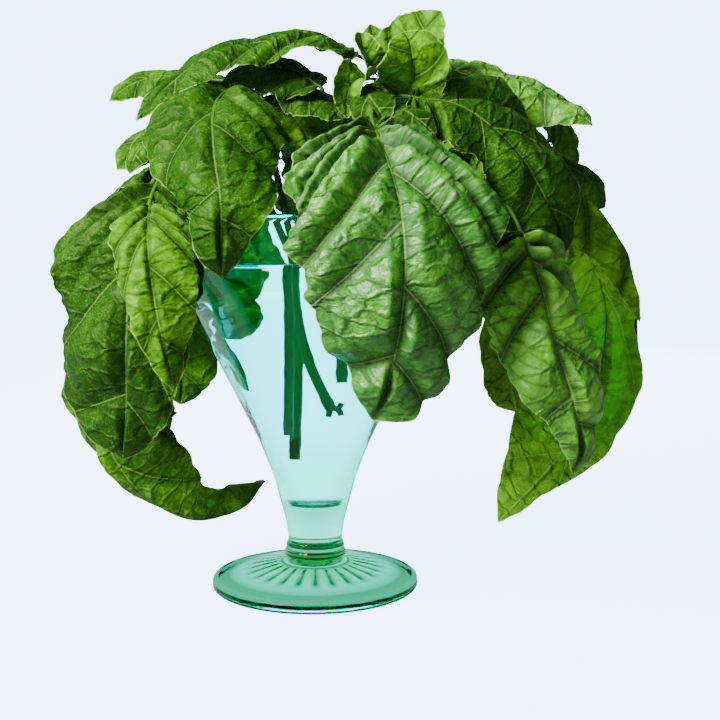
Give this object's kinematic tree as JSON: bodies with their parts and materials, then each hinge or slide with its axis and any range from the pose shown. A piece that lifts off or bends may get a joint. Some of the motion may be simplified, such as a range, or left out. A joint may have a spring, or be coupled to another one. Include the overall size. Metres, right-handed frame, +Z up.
{
  "type": "basil bunch in a vase of water",
  "caption": "Leafy basil stems with large drooping puckered leaves, standing in a footed V-shaped glass vase filled with water.",
  "frame": {"origin": "centre of the flat underside of the vase's foot, on the surface it stands on", "axes": "+Z up along the vase's axis, -Y to the front, where the broadest leaf hangs, +X to the viewer's right"},
  "size_m": [0.2311, 0.174, 0.2267],
  "materials": {
    "vase_glass": "clear pale green pressed glass",
    "water": "clear water",
    "basil": "fresh green leaf, glossy on its upper side"
  },
  "bodies": {
    "root": {"vase": "vase_glass", "water": "water", "crown_stem": "basil", "right_stem": "basil", "left_stem": "basil", "middle_stem": "basil"}
  },
  "joints": []
}
